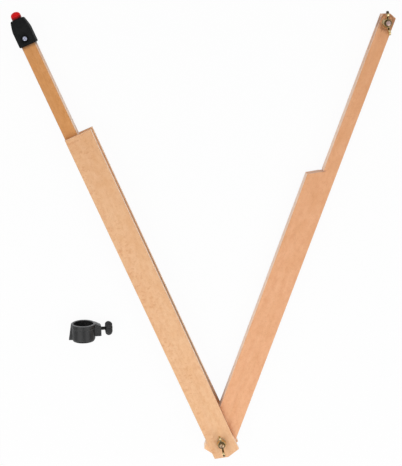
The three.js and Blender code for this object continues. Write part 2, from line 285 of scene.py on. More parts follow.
def fork_shade(wood, colour, reach, side, upright):
    """Painted shade inside the fork, and on the cheeks' sides by the hinge."""
    depth = wood.part(wood.point((1, 1, 1)), "Z")
    above = depth.between(FORK_BOTTOM, FORK_BOTTOM + FORK_SOFTNESS)
    inside = above * (1 - depth.between(FORK_TOP - FORK_SOFTNESS, FORK_TOP))
    # Painted shade on the faces inside the fork, strongest some way from the hinge.
    closed_in = reach.between(0.02, 0.06) * (1 - reach.between(0.12, 0.34)) * 0.35 + 0.05
    colour = wood.blend(inside * upright.between(0.8, 0.95) * closed_in, colour, FORK_SHADE)
    # Painted shade on the cheeks' narrow sides just by the hinge, where the chalk leg meets them.
    hinge_side_shade = side * reach.between(-0.002, 0.004) * (1 - reach.between(0.045, 0.085))
    return wood.blend(hinge_side_shade * 0.9, colour, HINGE_SIDE_SHADE)


# The inside of the fork is painted in shade between these two heights.
print("the fork is dirty from", FORK_BOTTOM, "to", FORK_TOP, "m above the table")

# %% [markdown]
# ## Beech under varnish
#
# Steamed beech is pinkish tan, and under a thin varnish its fibres barely stand up. End grain
# drinks more of the varnish, so it is darker on the pivot leg, but dry and pale on the chalk leg.
# The narrow sides are painted paler than the faces as painted light, and the rounded edges get
# a painted highlight. The stick has a painted shadow where it enters its cap, the chalk leg's
# hinge end is painted pale as painted light where the cheeks shade it, and the colour is painted
# darker towards the far ends as painted shade.

# %% Beech finish
FLECK_BROWN = srgb("9c5c34")
CURL_BROWN = srgb("cc8250")
END_GRAIN = srgb("a8693d")
BOARD_EDGE_HIGHLIGHT = srgb("ffe0c4")
CAP_SHADOW = srgb("3e2410")
HINGE_END_LIGHT = srgb("ffd2a4")


def beech(
    name, lean, light, dark, far, flank, heart, seed, curly=0.1, ends=END_GRAIN, shadow_from=1.0,
    nut_axis=None, fork=False,
):
    """Beech for a leaning leg, painted in shade to far at its far end and in light to flank at the
    sides.
    """
    wood = material(name, Coat_Weight=0.1, Coat_Roughness=0.35, Specular_IOR_Level=0.35)
    turn = (0, 0, -lean)
    shift = (0, 0, seed)
    ring = growth_rings(wood, turn, shift, heart)
    late_wood = ring.between(0.5, 0.95) * (1 - ring.between(0.95, 1.0))
    fleck = ray_flecks(wood, turn, shift)
    fibre = wood.noise(wood.point((1500, 22, 1500), turn, shift), 4, 0.6)
    streak = wood.noise(wood.point((210, 4, 210), turn, shift), 3, 0.55)
    mottle = wood.noise(wood.point((270, 150, 270), turn, shift), 3, 0.6)
    blush = wood.noise(wood.point((95, 40, 95), turn, (0, 0, seed + 1)), 2)
    reach = wood.part(wood.point((1, 1, 1), turn), "Y")

    tone = 0.65 + (streak - 0.5) * 0.4 + (mottle - 0.5) * 1.3 - late_wood * 0.1
    colour = wood.blend(tone.between(0.0, 1.0), dark, light)
    # Painted shade: towards the far end the colour turns to far, which the blush noise also mixes
    # in at random.
    colour = wood.blend(reach.between(0.02, 0.47) * 0.4 + (blush - 0.5), colour, far)
    colour = wood.blend(fibre.between(0.35, 0.75) * 0.12, colour, dark)
    colour = wood.blend(fleck * 0.26, colour, FLECK_BROWN)
    curled = curled_grain(wood, turn, shift, (0, 0, seed + 3))
    colour = wood.blend(curled * curly, colour, CURL_BROWN)

    normal = wood.turned(wood.node("ShaderNodeTexCoord", output="Normal"), turn)
    end_grain = abs(wood.part(normal, "Y")).between(0.75, 0.95)
    side = abs(wood.part(normal, "X")).between(0.6, 0.95)
    upright = abs(wood.part(normal, "Z"))
    edge = upright.between(0.15, 0.5) * (1 - upright.between(0.85, 0.99))
    colour = wood.blend(end_grain * 0.45, colour, ends)
    # Painted light: the narrow sides are painted paler, less so towards the far end.
    colour = wood.blend(side * (0.85 - reach.between(0.37, 0.46) * 0.4), colour, flank)
    # Painted highlight along the rounded edges of the boards.
    colour = wood.blend(edge * 0.3, colour, BOARD_EDGE_HIGHLIGHT)

    # Painted shadow on the stick just before it enters its cap.
    colour = wood.blend(reach.between(shadow_from - 0.005, shadow_from) * 0.8, colour, CAP_SHADOW)
    if nut_axis:
        # Painted shade of the nut's wings round the split end's bolt.
        colour = painted_nut_shade(wood, colour, mottle, nut_axis)
        # Painted light: the chalk leg's hinge end lies in the cheeks' shade and is painted pale.
        colour = wood.blend((1 - reach.between(0.001, 0.009)) * 0.7, colour, HINGE_END_LIGHT)
    if fork:
        colour = fork_shade(wood, colour, reach, side, upright)

    height = fibre * 0.5 + ring * 0.15 - fleck * 0.5
    wood.shade(
        Base_Color=colour,
        Roughness=0.42 + fibre * 0.12 + fleck * 0.1 + end_grain * 0.15,
        Normal=wood.bump(height, 0.035 * MM),
    )
    return wood.holder


cheek_wood = beech(
    "cheek_beech", PIVOT_LEAN, srgb("efc093"), srgb("e0a677"), srgb("e1a56f"), srgb("fce4d0"),
    heart=(0.021, 0, 0.075), seed=0.31, curly=0.36, fork=True,
)
stick_wood = beech(
    "stick_beech", PIVOT_LEAN, srgb("dfa062"), srgb("cc8948"), srgb("cd8745"), srgb("fce6d4"),
    heart=(-0.045, 0, -0.02), seed=1.7, shadow_from=0.4652,
)
chalk_leg_wood = beech(
    "chalk_leg_beech", CHALK_LEAN, srgb("edb386"), srgb("e19e71"), srgb("da9863"), srgb("fce2cc"),
    heart=(-0.03, 0, 0.06), seed=4.2, ends=srgb("ecd8cc"), nut_axis=SPLIT_END_AXIS,
)
print("wood finishes", [cheek_wood.name, stick_wood.name, chalk_leg_wood.name])

# %% [markdown]
# ## Putting pieces into the frame
#
# Every piece is shaped as a bmesh, smooth except where two faces meet at a clear angle, and its
# place is in its mesh, because the frame wants each object at the origin. A piece then rides on
# a body, so that it moves with it, stands for a node of the model and carries its finish.

# %% Placing helpers
def piece(name, bm, place, finish, sharp_angle=35):
    """Puts a bmesh in its place in the frame and makes it an object with soft and sharp edges."""
    bmesh.ops.recalc_face_normals(bm, faces=bm.faces)
    bm.transform(place)
    bm.normal_update()
    for face in bm.faces:
        face.smooth = True
    for edge in bm.edges:
        edge.smooth = edge.is_manifold and edge.calc_face_angle() < math.radians(sharp_angle)
    mesh = bpy.data.meshes.new(name)
    bm.to_mesh(mesh)
    bm.free()
    mesh.materials.append(finish)
    made = bpy.data.objects.new(name, mesh)
    bpy.context.scene.collection.objects.link(made)
    return made


def apply_modifiers(target):
    """Applies every modifier of an object to its mesh."""
    graph = bpy.context.evaluated_depsgraph_get()
    shaped = bpy.data.meshes.new_from_object(target.evaluated_get(graph))
    target.modifiers.clear()
    target.data = shaped


def stand_for(made, node, body):
    """Says which body a piece rides on and which node it replaces, and measures the piece."""
    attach(made, body)
    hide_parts(node)
    check = bmesh.new()
    check.from_mesh(made.data)
    loose = sum(not edge.is_manifold for edge in check.edges)
    triangles = sum(len(face.verts) - 2 for face in check.faces)
    print(made.name, "stands for", node, "with", triangles, "triangles, open edges", loose)
    check.free()


def middle(node):
    low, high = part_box(node)
    return (low + high) / 2


print("the stick's middle is", [round(value / MM, 1) for value in middle("pivot_stick")], "mm")

# %% [markdown]
# ## Cutters
#
# Some details are easier to take out of a finished shape than to build into it. A boolean does
# this with a simple block or cylinder. Small shapes are made in millimetres, and the frame that
# they are put in also turns millimetres to metres.

# %% Cutting helpers
TO_METRES = Matrix.Scale(MM, 4)
IN_PLACE = Matrix.Identity(4)
HOLE_SIDES = 48


def cylinder(radius, from_z, to_z):
    bm = bmesh.new()
    bmesh.ops.create_cone(
        bm, cap_ends=True, segments=HOLE_SIDES, radius1=radius, radius2=radius, depth=to_z - from_z,
    )
    bmesh.ops.translate(bm, verts=bm.verts, vec=(0, 0, (from_z + to_z) / 2))
    return bm


def block(width, depth, from_z, to_z):
    bm = bmesh.new()
    bmesh.ops.create_cube(bm, size=1)
    bmesh.ops.scale(bm, verts=bm.verts, vec=(width, depth, to_z - from_z))
    bmesh.ops.translate(bm, verts=bm.verts, vec=(0, 0, (from_z + to_z) / 2))
    return bm


def cut(target, place, cutters):
    """Cuts each cutter away from an object. The cutters are shaped in the same frame."""
    tools = [piece("cutter", bm, place @ extra, target.data.materials[0]) for extra, bm in cutters]
    for tool in tools:
        step = target.modifiers.new("cut", "BOOLEAN")
        step.operation = "DIFFERENCE"
        step.solver = "EXACT"
        step.object = tool
    apply_modifiers(target)
    for tool in tools:
        bpy.data.objects.remove(tool)


print("a round cutter has", HOLE_SIDES, "sides")

# %% [markdown]
# ## The boards
#
# The model's boards have the right outlines, holes and split. What they lack is the feel of sawn
# and sanded wood: its edges are rounded by a few tenths of a millimetre, and each edge catches a
# thin line of light. A copy of each board is merged, its flat parts are joined into single faces,
# and a bevel rounds every edge. The stick also closes the two glue lines to the cheeks. The step
# of the chalk leg was cut across first, and the saw ran a little past the inner corner: a thin
# block takes this cut out of the board.

# %% Boards
EDGE_ROUND = 0.3 * MM
MERGE_DISTANCE = 0.005 * MM
FLAT_ANGLE = math.radians(0.5)
CORNER_ANGLE = math.radians(30)
GLUE_LINE_SHARE = 1.035
HALF_BOARD = 14.4
STEP_CORNER = (0.3, 312.6)
STEP_RISE = 7.9
STEP_SLOPE = math.atan2(STEP_RISE, HALF_BOARD)
SAW_OVERRUN = 2.8
SAW_WIDTH = 0.9
SAW_REACH = 10


def board(name, node, finish, body, thicken=1.0, saw_cut=None):
    """Copies a board from the model, thickens it, cuts its saw mark and rounds its edges."""
    bm = bmesh.new()
    bm.from_mesh(nodes[node].data)
    bm.transform(nodes[node].matrix_world)
    bmesh.ops.remove_doubles(bm, verts=bm.verts, dist=MERGE_DISTANCE)
    bmesh.ops.dissolve_limit(bm, angle_limit=FLAT_ANGLE, verts=bm.verts, edges=bm.edges)
    centre = middle(node).z
    for vert in bm.verts:
        vert.co.z = centre + (vert.co.z - centre) * thicken
    made = piece(name, bm, IN_PLACE, finish, sharp_angle=180)
    if saw_cut:
        cut(made, saw_cut, [(IN_PLACE, block(2 * SAW_OVERRUN, SAW_WIDTH, -SAW_REACH, SAW_REACH))])
    rounding = made.modifiers.new("rounding", "BEVEL")
    rounding.width = EDGE_ROUND
    rounding.segments = 2
    rounding.limit_method = "ANGLE"
    rounding.angle_limit = CORNER_ANGLE
    rounding.harden_normals = True
    apply_modifiers(made)
    stand_for(made, node, body)


board("front_board", "front_cheek", cheek_wood, "pivot_leg")
board("back_board", "back_cheek", cheek_wood, "pivot_leg")
board("stick_board", "pivot_stick", stick_wood, "pivot_leg", GLUE_LINE_SHARE)
step_place = (
    Matrix.Rotation(CHALK_LEAN, 4, "Z")
    @ Matrix.Translation((STEP_CORNER[0] * MM, STEP_CORNER[1] * MM, middle("chalk_leg").z))
    @ Matrix.Rotation(STEP_SLOPE, 4, "Z")
    @ TO_METRES
)
board(
    "chalk_board", "chalk_leg", chalk_leg_wood, "chalk_leg", saw_cut=step_place,
)

# %% [markdown]
# ## Metal, plastic and rubber
#
# The hardware is zinc-plated steel. Plating is bright but not a mirror: its roughness varies in
# small patches, and its passivated skin is yellowish. A wing nut is cast before it is plated, so
# its skin is also slightly lumpy. Round the bolt the hub and the thread are painted dark as shade,
# and so is the tip of one wing. The cap's screw is brighter and bluer. The mouldings are black
# plastic with a fine orange-peel skin, and the clamp gets painted highlights and painted shade. The
# tip is soft red rubber, which is duller, with painted shade where it meets the cap.

# %% Metal finishes
HUB_SHADE = srgb("4a3418")
WING_TIP_SHADE = srgb("28241c")
GRIT = srgb("5e5038")


def plated(name, light, dark, lumps, roughness=0.2, axis=None, dark_tip_wing=1):
    """Plated steel, with painted shade round an axis and at one wing's tip, on the side
    dark_tip_wing gives.
    """
    metal = material(name, Metallic=1)
    patches = metal.noise(metal.point((420, 420, 420)), 4, 0.6)
    grit = metal.noise(metal.point((5200, 5200, 5200)), 2)
    tint = metal.blend(patches.between(0.35, 0.7), light, dark)
    if axis:
        reach = metal.from_axis(axis)
        # Painted shade round the bolt, on the hub and the thread.
        hub_shade = 1 - (reach + patches * 0.003).between(0.0046, 0.0062)
        tint = metal.blend(hub_shade * 0.8, tint, HUB_SHADE)
        # Painted shade at the tip of one wing.
        along = metal.part(metal.point((1, dark_tip_wing, 1), move=(0, -axis[1], 0)), "Y")
        wear_and_shade = reach.between(0.0086, 0.0098) * along.between(0.0, 0.002)
        tint = metal.blend(wear_and_shade * 0.9, tint, WING_TIP_SHADE)
    metal.shade(
        Base_Color=metal.blend(grit.between(0.62, 0.8) * 0.35, tint, GRIT),
        Roughness=patches * 0.2 + roughness,
        Normal=metal.bump(patches * lumps + grit * 0.1, 0.1 * MM),
    )
    return metal.holder


NUT_ZINC = {"light": srgb("ecd6a6"), "dark": srgb("a68a50"), "lumps": 0.9, "roughness": 0.14}
hinge_nut_zinc = plated("hinge_nut_zinc", axis=HINGE_AXIS, dark_tip_wing=-1, **NUT_ZINC)
split_end_nut_zinc = plated("split_end_nut_zinc", axis=SPLIT_END_AXIS, **NUT_ZINC)
turned_zinc = plated("turned_zinc", srgb("ccd0bc"), srgb("9c9c84"), lumps=0.25)
hinge_bolt_end = plated("hinge_bolt_end", srgb("cbae90"), srgb("7a5a40"), lumps=1.6)
split_bolt_end = plated("split_bolt_end", srgb("ccb0ac"), srgb("94786e"), lumps=1.4)
bright_zinc = plated("bright_zinc", srgb("c0c4d6"), srgb("9094a8"), lumps=0.4)
black_steel = plated("black_steel", srgb("4a4946"), srgb("2e2d2b"), lumps=0.2, roughness=0.3)
worn_steel = plated("worn_steel", srgb("b4b2ae"), srgb("85837f"), lumps=0.3, roughness=0.35)
print("materials so far", len(bpy.data.materials))

# %% Plastic finishes
RIM_HIGHLIGHT = srgb("747576")
FOOT_SHADE = srgb("141414")
EDGE_GLINT = srgb("6a6a6a")


def black_plastic(name, colour, wear_and_shade, shine, satin=0.38, painted_shading=0.0):
    """Moulded plastic, with painted highlights on sides facing +y and painted shade on those facing
    -y.
    """
    plastic = material(name, Specular_IOR_Level=shine)
    peel = plastic.noise(plastic.point((1900, 1900, 1900)), 3, 0.55)
    smear = plastic.noise(plastic.point((150, 150, 150)), 3)
    skin = plastic.blend(smear.between(0.3, 0.8), colour, wear_and_shade)
    if painted_shading:
        slope = plastic.part(plastic.node("ShaderNodeTexCoord", output="Normal"), "Y")
        # Painted highlight on sides that face +y.
        skin = plastic.blend(slope.between(0.15, 0.7) * painted_shading, skin, RIM_HIGHLIGHT)
        # Painted shade on sides that face -y.
        skin = plastic.blend((1 - slope.between(-0.55, -0.25)) * painted_shading, skin, FOOT_SHADE)
        # A painted glint on the edge between them.
        edge = slope.between(-0.35, -0.2) * (1 - slope.between(-0.2, -0.05))
        skin = plastic.blend(edge * painted_shading * 0.6, skin, EDGE_GLINT)
    plastic.shade(
        Base_Color=skin,
        Roughness=satin + smear * 0.16 + peel * 0.06,
        Normal=plastic.bump(peel, 0.035 * MM),
    )
    return plastic.holder


cap_plastic = black_plastic("cap_plastic", srgb("0e0f0f"), srgb("1a1b1b"), shine=0.16, satin=0.55)
clamp_plastic = black_plastic(
    "clamp_plastic", srgb("1e1e1e"), srgb("2b2b2b"), shine=0.36, satin=0.27, painted_shading=0.9,
)
knob_plastic = black_plastic("knob_plastic", srgb("1d1d1d"), srgb("2e2e2e"), shine=0.34, satin=0.3)
print("materials so far", len(bpy.data.materials))

# %% Rubber finish
CAP_JOINT_SHADE = srgb("500a0c")
CHALK_DUST = srgb("f0b0a8")
TIP_SHOWS_FROM = 0.4925

rubber = material("tip_rubber", Specular_IOR_Level=0.15)
pores = rubber.noise(rubber.point((2300, 2300, 2300)))
dust = rubber.noise(rubber.point((300, 300, 300)), 4, 0.65)
red = rubber.blend(dust.between(0.3, 0.75), srgb("ee1512"), srgb("c80c0e"))
reach = rubber.part(rubber.point((1, 1, 1), (0, 0, -PIVOT_LEAN)), "Y")
# Painted shade where the tip meets the cap.
shaded = 1 - reach.between(TIP_SHOWS_FROM, TIP_SHOWS_FROM + 0.003)
red = rubber.blend(shaded * 0.7, red, CAP_JOINT_SHADE)
rubber.shade(
    Base_Color=rubber.blend(dust.between(0.66, 0.8) * 0.08, red, CHALK_DUST),
    Roughness=0.38 + pores * 0.15,
    Normal=rubber.bump(pores, 0.03 * MM),
)
tip_rubber = rubber.holder
print("materials", len(bpy.data.materials))

# %% [markdown]
# ## Helpers for turned and cut pieces
#
# Most hardware is turned: bolts, washers, screws, the rubber tip. A lathe takes a profile round
# an axis, and Blender's spin does the same to a row of vertices. Like the cutters, these pieces
# are shaped in millimetres round their own axis.

# %% Mesh helpers
TOUCHING = 0.0005


def over(node, lean=0.0):
    """The frame of a piece that stands on a node's foot, turned with its leg, in millimetres."""
    low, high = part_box(node)
    foot = Vector(((low.x + high.x) / 2, (low.y + high.y) / 2, low.z))
    return Matrix.Translation(foot) @ Matrix.Rotation(lean, 4, "Z") @ TO_METRES


def height_of(node):
    """How high a node is, in millimetres."""
    low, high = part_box(node)
    return (high.z - low.z) / MM


def turned(bm, profile, steps=64, closed=False):
    """Spins a profile of (radius, height) round z. A closed profile makes a ring with a hole."""
    points = [bm.verts.new((radius, 0, height)) for radius, height in profile]
    pairs = list(zip(points, points[1:] + points[:1] if closed else points[1:]))
    edges = [bm.edges.new(pair) for pair in pairs]
    bmesh.ops.spin(
        bm, geom=points + edges, axis=(0, 0, 1), cent=(0, 0, 0),
        angle=2 * math.pi, steps=steps, use_merge=True,
    )
    bmesh.ops.remove_doubles(bm, verts=bm.verts, dist=TOUCHING)


def rounded(centre, radius, start, end, steps=5):
    """Points of an arc, for rounding a corner of a profile. Angles are in degrees."""
    angles = [math.radians(start + (end - start) * i / steps) for i in range(steps + 1)]
    return [(centre[0] + radius * math.cos(a), centre[1] + radius * math.sin(a)) for a in angles]


def slab(outline, depth, ease, segments=3):
    """A plate of an outline in x and z, as deep as given across y, with rounded edges."""
    bm = bmesh.new()
    face = bm.faces.new([bm.verts.new((x, -depth / 2, z)) for x, z in outline])
    grown = bmesh.ops.extrude_face_region(bm, geom=[face], use_keep_orig=True)
    moved = [part for part in grown["geom"] if isinstance(part, bmesh.types.BMVert)]
    bmesh.ops.translate(bm, verts=moved, vec=(0, depth, 0))
    bmesh.ops.recalc_face_normals(bm, faces=bm.faces)
    bmesh.ops.bevel(
        bm, geom=bm.edges, offset=ease, affect="EDGES", segments=segments, profile=0.5,
        material=-1, clamp_overlap=True,
    )
    return bm


def add_shell(bm, extra, turn=0.0):
    """Adds a second shell to a bmesh, turned round z."""
    bmesh.ops.rotate(extra, verts=extra.verts, matrix=Matrix.Rotation(turn, 3, "Z"))
    shell = bpy.data.meshes.new("shell")
    extra.to_mesh(shell)
    extra.free()
    bm.from_mesh(shell)
    bpy.data.meshes.remove(shell)


print("a rounded corner has", len(rounded((0, 0), 1, 0, 90)), "points")

# %% [markdown]
# ## The bolts
#
# Each bolt has a flat countersunk head that lies flush in the back of the wood, a square neck
# that stops it turning, and a threaded end. After assembly the end is hammered over, so the wing
# nut can't be lost. The shank is a turned profile. The thread is a second shell round it: a small
# ridge spun with a rise at each step, which draws a helix. The thread is painted dark as shade,
# and hammering knocks the plating off the middle of the end, which shows bare steel.

# %% Bolts
BOLT_SIDES = 48
BOLT_RADIUS = 2.5
BOLT_HEAD_RADIUS = 5.25
BOLT_HEAD_LAND = 0.6
BOLT_NECK_END = 4.2
THREAD_PITCH = 0.8
THREAD_DEPTH = 0.42
THREAD_BITE = 0.15
THREAD_FOOT_SHARE = 0.44
THREAD_CREST_SHARE = 0.06
HINGE_THREAD = 12
SPLIT_END_THREAD = 11
PEEN_RADIUS = 3.1
PEEN_HEIGHT = 1.2
BARE_DEPTH = 0.3


def thread(bm, radius, pitch, depth, start, end, steps=28):
    """A helical ridge from start to end, its crest at the radius and its foot in the shaft."""
    inside = radius - depth - THREAD_BITE
    foot = pitch * THREAD_FOOT_SHARE
    crest = pitch * THREAD_CREST_SHARE
    outline = [(inside, -foot), (radius, -crest), (radius, crest), (inside, foot)]
    face = bm.faces.new([bm.verts.new((x, 0, start + pitch / 2 + z)) for x, z in outline])
    turns = (end - start - pitch) / pitch
    count = max(1, round(turns * steps))
    bmesh.ops.spin(
        bm, geom=[face], axis=(0, 0, 1), cent=(0, 0, 0), angle=2 * math.pi * turns,
        dvec=(0, 0, (end - start - pitch) / count), steps=count, use_merge=False,
    )


def bolt(name, node, lean, body, thread_length, bare_end, dark_thread):
    """A bolt, whose profile goes up the head, cone, shank, thread core and peened end."""
    length = height_of(node)
    shank_end = length - PEEN_HEIGHT
    thread_start = shank_end - thread_length
    root = BOLT_RADIUS - THREAD_DEPTH
    cone_end = BOLT_HEAD_LAND + BOLT_HEAD_RADIUS - BOLT_RADIUS
    bm = bmesh.new()
    turned(bm, [
        (0, 0.06), (2.4, 0.03), *rounded((BOLT_HEAD_RADIUS - 0.2, 0.2), 0.2, -90, 0),
        (BOLT_HEAD_RADIUS, BOLT_HEAD_LAND), (BOLT_RADIUS, cone_end), (BOLT_RADIUS, thread_start),
        (root, thread_start + 0.4), (root, shank_end - 0.3),
        (PEEN_RADIUS - 0.5, shank_end + 0.05),
        *rounded((PEEN_RADIUS - 0.35, shank_end + 0.45), 0.35, -60, 50),
        (PEEN_RADIUS - 0.8, shank_end + 0.98), (1.1, length - 0.03), (0, length),
    ], BOLT_SIDES)
    thread(bm, BOLT_RADIUS, THREAD_PITCH, THREAD_DEPTH, thread_start, shank_end - 0.1)
    neck = bmesh.ops.create_cube(bm, size=2 * BOLT_RADIUS)["verts"]
    neck_height = BOLT_NECK_END - BOLT_HEAD_LAND
    bmesh.ops.scale(bm, verts=neck, vec=(1, 1, neck_height / (2 * BOLT_RADIUS)))
    bmesh.ops.translate(bm, verts=neck, vec=(0, 0, BOLT_HEAD_LAND + neck_height / 2))
    made = piece(name, bm, over(node, lean), turned_zinc)
    made.data.materials.append(dark_thread)
    made.data.materials.append(bare_end)
    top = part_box(node)[1].z
    # Faces near the top take the nut's finish, which paints the thread dark as shade; the very end
    # is bare steel.
    for face in made.data.polygons:
        depth = (top - face.center.z) / MM
        face.material_index = int(depth < PEEN_HEIGHT + thread_length) + int(depth < BARE_DEPTH)
    stand_for(made, node, body)


bolt(
    "hinge_bolt", "pivot_bolt", PIVOT_LEAN, "pivot_leg", HINGE_THREAD,
    bare_end=hinge_bolt_end, dark_thread=hinge_nut_zinc,
)
bolt(
    "split_end_bolt", "chalk_bolt", CHALK_LEAN, "chalk_leg", SPLIT_END_THREAD,
    bare_end=split_bolt_end, dark_thread=split_end_nut_zinc,
)

# %% [markdown]
# ## Washers
#
# A washer is punched from sheet: the punch rounds the edge on one side and leaves the other
# sharper. A closed profile spun round the axis gives the ring with its hole.

# %% Washers
WASHER_SIDES = 72
WASHER_RADIUS = 5
WASHER_HOLE = 2.8
WASHER_OUTER_ROUND = 0.3
WASHER_HOLE_ROUND = 0.25


def washer(name, node, body):
    thickness = height_of(node)
    bm = bmesh.new()
    rim_corner = (WASHER_RADIUS - WASHER_OUTER_ROUND, thickness - WASHER_OUTER_ROUND)
    hole_corner = (WASHER_HOLE + WASHER_HOLE_ROUND, thickness - WASHER_HOLE_ROUND)
    turned(bm, [
        (WASHER_HOLE, 0.1), (WASHER_HOLE + 0.1, 0),
        (WASHER_RADIUS - 0.08, 0), (WASHER_RADIUS, 0.08),
        *rounded(rim_corner, WASHER_OUTER_ROUND, 0, 90),
        *rounded(hole_corner, WASHER_HOLE_ROUND, 90, 180),
    ], WASHER_SIDES, closed=True)
    stand_for(piece(name, bm, over(node), turned_zinc), node, body)


washer("hinge_washer", "pivot_washer", "pivot_washer")
washer("split_end_washer", "chalk_washer", "chalk_washer")

# %% [markdown]
# ## Wing nuts
#
# A wing nut is a cast cone with two wings that spread and rise to round ends. Cast metal has no
# sharp inner corners: the wings flow into the hub. Two ways could give that flow, a hand-made
# blend of faces or a remesh. Here the hub and the wings are simple overlapping shells, a voxel
# remesh melts them into one skin, and a little smoothing rounds every corner as casting does.

# %% Melting shells into one skin
def melt(target, voxel, rounds):
    """Joins overlapping shells into one skin and softens its corners."""
    joined = target.modifiers.new("melt", "REMESH")
    joined.mode = "VOXEL"
    joined.voxel_size = voxel * MM
    joined.use_smooth_shade = True
    soft = target.modifiers.new("soften", "SMOOTH")
    soft.factor = 0.5
    soft.iterations = rounds
    apply_modifiers(target)
    print(target.name, "melted into a skin of", len(target.data.polygons), "faces")


# %% Wing nuts
WING_SPAN = 24
WING_THICKNESS = 2.3
WING_TIP_RADIUS = 3.1
NUT_BASE_RADIUS = 5
NUT_TOP_RADIUS = 4.1
NUT_HEIGHT = 5
NUT_BORE = 2.8
NUT_VOXEL = 0.16
NUT_SOFTENING = 4
WING_START = NUT_BORE + 0.6
WING_EASE = 0.5
WING_UNDERSIDE = [(WING_START, 1.0), (5.2, 1.25), (7.4, 2.3), (9.2, 4.0)]
WING_TOP = [(5.7, 6.3), (4.7, 5.1), (WING_START, NUT_HEIGHT - 0.5)]
PIVOT_WING_TURN = math.radians(13)
CHALK_WING_TURN = math.radians(8)


def wing(height):
    """One wing in x and z, from inside the hub to its round end."""
    tip = (WING_SPAN / 2 - WING_TIP_RADIUS, height - WING_TIP_RADIUS)
    round_end = rounded(tip, WING_TIP_RADIUS, -42, 140, 12)
    return slab(WING_UNDERSIDE + round_end + WING_TOP, WING_THICKNESS, WING_EASE)


def wing_nut(name, node, turn, finish, body):
    height = height_of(node)
    bm = bmesh.new()
    turned(bm, [
        (NUT_BORE, 0.4), (NUT_BORE + 0.4, 0), (NUT_BASE_RADIUS - 0.3, 0), (NUT_BASE_RADIUS, 0.3),
        (NUT_BASE_RADIUS, 1.2), (NUT_TOP_RADIUS, NUT_HEIGHT - 0.3),
        (NUT_TOP_RADIUS - 0.3, NUT_HEIGHT), (NUT_BORE + 0.4, NUT_HEIGHT),
        (NUT_BORE, NUT_HEIGHT - 0.4),
    ], closed=True)
    add_shell(bm, wing(height))
    add_shell(bm, wing(height), math.pi)
    nut = piece(name, bm, over(node, turn + math.pi / 2), finish)
    melt(nut, NUT_VOXEL, NUT_SOFTENING)
    stand_for(nut, node, body)


wing_nut("hinge_wing_nut", "pivot_wing_nut", PIVOT_WING_TURN, hinge_nut_zinc, "pivot_wing_nut")
wing_nut(
    "split_end_wing_nut", "chalk_wing_nut", CHALK_WING_TURN, split_end_nut_zinc, "chalk_wing_nut",
)

# %% [markdown]
# ## The foot cap
#
# The cap is a moulded sleeve, a rounded square tube that slips over the stick and tapers to a
# thick end. A cube is stretched to its size, cut across where it tapers, drawn in towards the
# end and bevelled. The pocket for the stick, the sunk seat of the screw and the hole for the tip
# are cut out of it.

# %% Where the cap is
CAP_WIDTH = 18.1
CAP_THICKNESS = 18.0
CAP_LENGTH = 27.2
CAP_TAPER_LENGTH = 10.8
CAP_TAPER = 4.4
CAP_WALL = 1.7
CAP_FLOOR = 7.6
CAP_SCREW_INSET = 6.9

pivot_turn = Matrix.Rotation(PIVOT_LEAN, 4, "Z")
screw_place = pivot_turn.inverted() @ middle("cap_screw")
stick_line = Vector((screw_place.x, 0, middle("pivot_stick").z))


def along_stick(reach):
    """The frame whose z axis runs along the stick, its front face towards -y, in millimetres."""
    start = stick_line + Vector((0, reach, 0))
    upright = Matrix.Rotation(-math.pi / 2, 4, "X")
    return pivot_turn @ Matrix.Translation(start) @ upright @ TO_METRES


cap_start = screw_place.y - CAP_SCREW_INSET * MM
cap_frame = along_stick(cap_start)
print("the cap starts", round(cap_start / MM, 1), "mm from the hinge")

# %% Foot cap
CUTTER_REACH = 5
TAPER_CUTS = 6
LONG_EDGE_ROUND = 2.7
END_ROUND = 1.4
MOUTH_ROUND = 1.5
SCREW_SEAT_DEPTH = 0.9
SCREW_SEAT_RADIUS = 3.3
SCREW_HOLE_RADIUS = 1.5
TIP_HOLE_RADIUS = 3.3
TIP_HOLE_DEPTH = 6.3

bm = block(CAP_WIDTH, CAP_THICKNESS, 0, CAP_LENGTH)
for number in range(TAPER_CUTS):
    level = CAP_LENGTH - CAP_TAPER_LENGTH * (1 - number / TAPER_CUTS)
    every_part = bm.verts[:] + bm.edges[:] + bm.faces[:]
    bmesh.ops.bisect_plane(bm, geom=every_part, plane_co=(0, 0, level), plane_no=(0, 0, 1))
for vert in bm.verts:
    share = max(0.0, (vert.co.z - CAP_LENGTH + CAP_TAPER_LENGTH) / CAP_TAPER_LENGTH)
    scale = 1 - CAP_TAPER / CAP_WIDTH * share ** 1.3
    vert.co.x *= scale
    vert.co.y *= scale
long_edges = [edge for edge in bm.edges if abs(edge.verts[0].co.z - edge.verts[1].co.z) > 0.5]
bmesh.ops.bevel(
    bm, geom=long_edges, offset=LONG_EDGE_ROUND, affect="EDGES", segments=6, profile=0.5,
    material=-1,
)
bm.normal_update()
for level, ease in ((CAP_LENGTH, END_ROUND), (0, MOUTH_ROUND)):
    rim = [
        edge for edge in bm.edges
        if all(abs(vert.co.z - level) < 0.01 for vert in edge.verts)
        and any(abs(face.normal.z) < 0.7 for face in edge.link_faces)
    ]
    bmesh.ops.bevel(
        bm, geom=rim, offset=ease, affect="EDGES", segments=5, profile=0.5, material=-1,
    )
    bm.normal_update()
cap = piece("moulded_cap", bm, cap_frame, cap_plastic, 40)
to_screw = Matrix.Translation((0, 0, CAP_SCREW_INSET)) @ Matrix.Rotation(math.pi / 2, 4, "X")
front = CAP_THICKNESS / 2
beyond = front + CUTTER_REACH
pocket_width = CAP_WIDTH - 2 * CAP_WALL
pocket_depth = CAP_THICKNESS - 2 * CAP_WALL
tip_hole = (CAP_LENGTH - TIP_HOLE_DEPTH, CAP_LENGTH + CUTTER_REACH)
